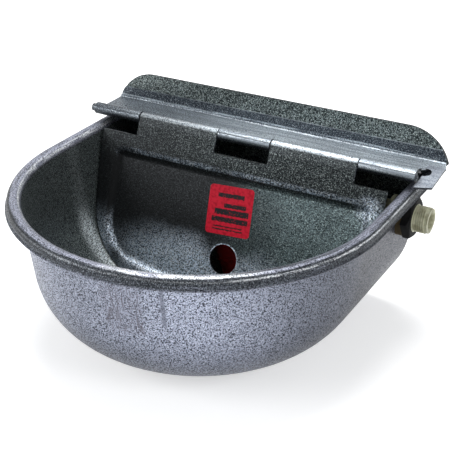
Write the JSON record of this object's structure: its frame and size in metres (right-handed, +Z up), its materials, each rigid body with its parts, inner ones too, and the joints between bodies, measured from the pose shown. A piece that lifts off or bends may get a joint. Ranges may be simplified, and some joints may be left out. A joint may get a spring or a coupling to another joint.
{
  "type": "livestock drinking bowl",
  "caption": "Wall-hung galvanised drinking bowl for livestock, with a hinged cover over its float valve and a threaded side inlet.",
  "frame": {"origin": "midway between the two wall screws, on the back plate's wall face", "axes": "+X to the inlet side, +Y into the wall, +Z up"},
  "size_m": [0.311, 0.2595, 0.158],
  "materials": {
    "zinc_steel": "galvanised, dull and finely pitted",
    "pin_steel": "drawn rod, zinc plated",
    "red_label": "printed film, plain bars only",
    "cream_nylon": "moulded, satin",
    "black_nylon": "moulded, satin",
    "brown_rubber": "smooth",
    "black_rubber": "smooth",
    "brass": "turned, slightly dulled",
    "steel_mesh": "stainless",
    "white_acetal": "moulded, satin",
    "red_float": "moulded shell, satin"
  },
  "bodies": {
    "bowl_body": {"bowl": "zinc_steel", "back_plate": "zinc_steel", "hinge_strip": "zinc_steel", "hinge_pin": "pin_steel", "valve_body": "cream_nylon", "outer_washer": "brown_rubber", "lock_nut": "black_nylon", "inner_gasket": "black_rubber", "valve_seat": "brass", "inlet_screen": "steel_mesh", "lever_pin": "brass", "pin_clip": "steel_mesh"},
    "cover_body": {"cover": "zinc_steel", "cover_label": "red_label"},
    "float_body": {"float_arm": "brass", "float": "red_float", "float_insert": "brass", "float_washer": "brass", "float_screw": "brass"},
    "plunger_body": {"plunger": "white_acetal", "plunger_seal": "black_rubber"}
  },
  "joints": [
    {"name": "cover_hinge", "type": "hinge", "parent": "bowl_body", "child": "cover_body", "pos_m": [0, -0.039, 0.029], "axis": [-1, 0, 0], "range_deg": [0, 168]},
    {"name": "float_pivot", "type": "hinge", "parent": "bowl_body", "child": "float_body", "pos_m": [0.103, -0.03, -0.017], "axis": [0, 1, 0], "range_deg": [0, 20]},
    {"name": "plunger_slide", "type": "slide", "parent": "bowl_body", "child": "plunger_body", "axis": [1, 0, 0], "range_m": [0, 0.0025]}
  ],
  "couplings": [
    {"joint": "plunger_slide", "follows": "float_pivot", "m_per_rad": 0.007}
  ]
}
